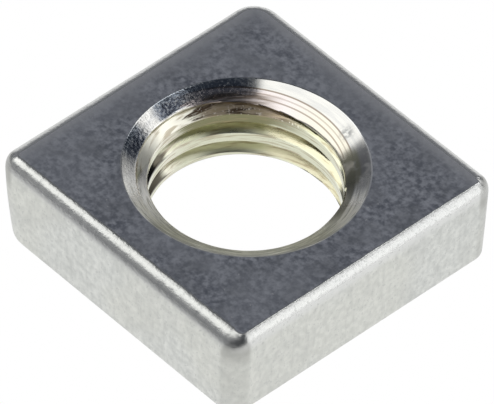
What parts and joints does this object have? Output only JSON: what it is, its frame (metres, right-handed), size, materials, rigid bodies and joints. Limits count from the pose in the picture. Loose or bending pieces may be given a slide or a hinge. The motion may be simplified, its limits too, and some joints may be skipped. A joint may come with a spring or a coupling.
{
  "type": "square nut",
  "caption": "Thin square nut with rounded corners, rolled top edges and a threaded hole countersunk on both faces; clamps parts on a bolt or sits in a slot or channel.",
  "frame": {"origin": "centre of the hole, on the bottom face", "axes": "+Z along the hole from the bottom face to the rolled top face, +X and +Y square to the flats"},
  "size_m": [0.0128, 0.0128, 0.0037],
  "materials": {
    "zinc_plate": "clear zinc plate on stamped steel, satin on the faces and brighter on the edges and in the hole"
  },
  "bodies": {
    "root": {"square_nut": "zinc_plate"}
  },
  "joints": []
}
